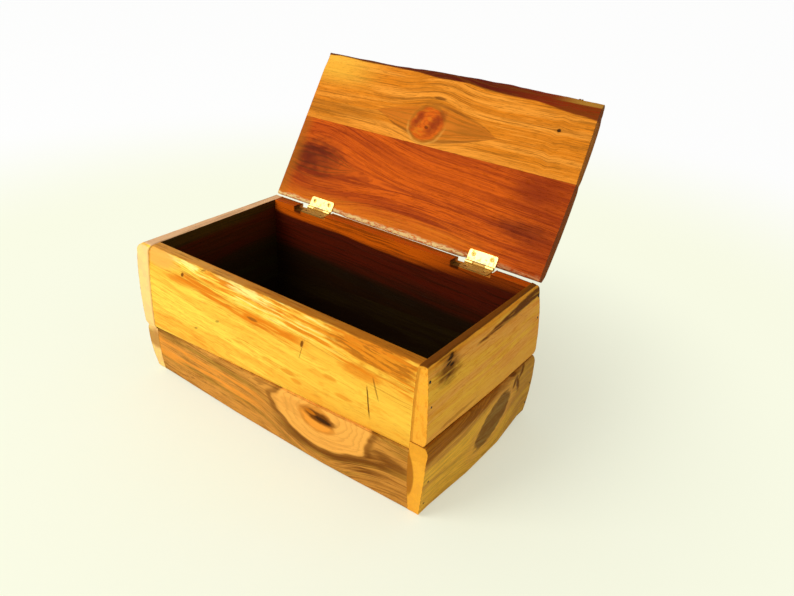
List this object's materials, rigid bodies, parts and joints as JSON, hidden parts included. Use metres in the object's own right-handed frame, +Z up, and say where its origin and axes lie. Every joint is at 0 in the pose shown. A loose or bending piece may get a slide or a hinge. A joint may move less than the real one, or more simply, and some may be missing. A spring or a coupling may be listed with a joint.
{
  "type": "plank box with hinged lid",
  "caption": "Small rustic wooden chest of waned planks, two high around a let-in bottom, with a live-edge plank lid on two brass butt hinges.",
  "frame": {"origin": "centre of the base, on the surface the chest stands on", "axes": "+X along the front to its right end, +Y to the hinge side, +Z up"},
  "size_m": [0.2835, 0.2331, 0.2302],
  "materials": {
    "sapwood": "oiled, satin",
    "heartwood": "oiled, satin",
    "brass": "bright rolled",
    "screw_steel": "dull brass-plated",
    "nail_steel": "darkened"
  },
  "bodies": {
    "box": {"front_upper_board": "sapwood", "front_lower_board": "heartwood", "back_upper_board": "heartwood", "back_lower_board": "heartwood", "left_upper_end": "sapwood", "left_lower_end": "heartwood", "right_upper_end": "sapwood", "right_lower_end": "heartwood", "bottom_board": "heartwood", "left_hinge_wall_leaf": "brass", "right_hinge_wall_leaf": "brass", "left_hinge_pin": "brass", "right_hinge_pin": "brass", "left_wall_screws": "screw_steel", "right_wall_screws": "screw_steel", "left_end_nails": "nail_steel", "right_end_nails": "nail_steel"},
    "lid": {"lid_rear_board": "heartwood", "lid_front_board": "sapwood", "left_hinge_lid_leaf": "brass", "right_hinge_lid_leaf": "brass", "left_lid_screws": "screw_steel", "right_lid_screws": "screw_steel"}
  },
  "joints": [
    {"name": "lid_hinge", "type": "hinge", "parent": "box", "child": "lid", "pos_m": [0, 0.0722, 0.1126], "axis": [1, 0, 0], "range_deg": [0, 122.5]}
  ]
}
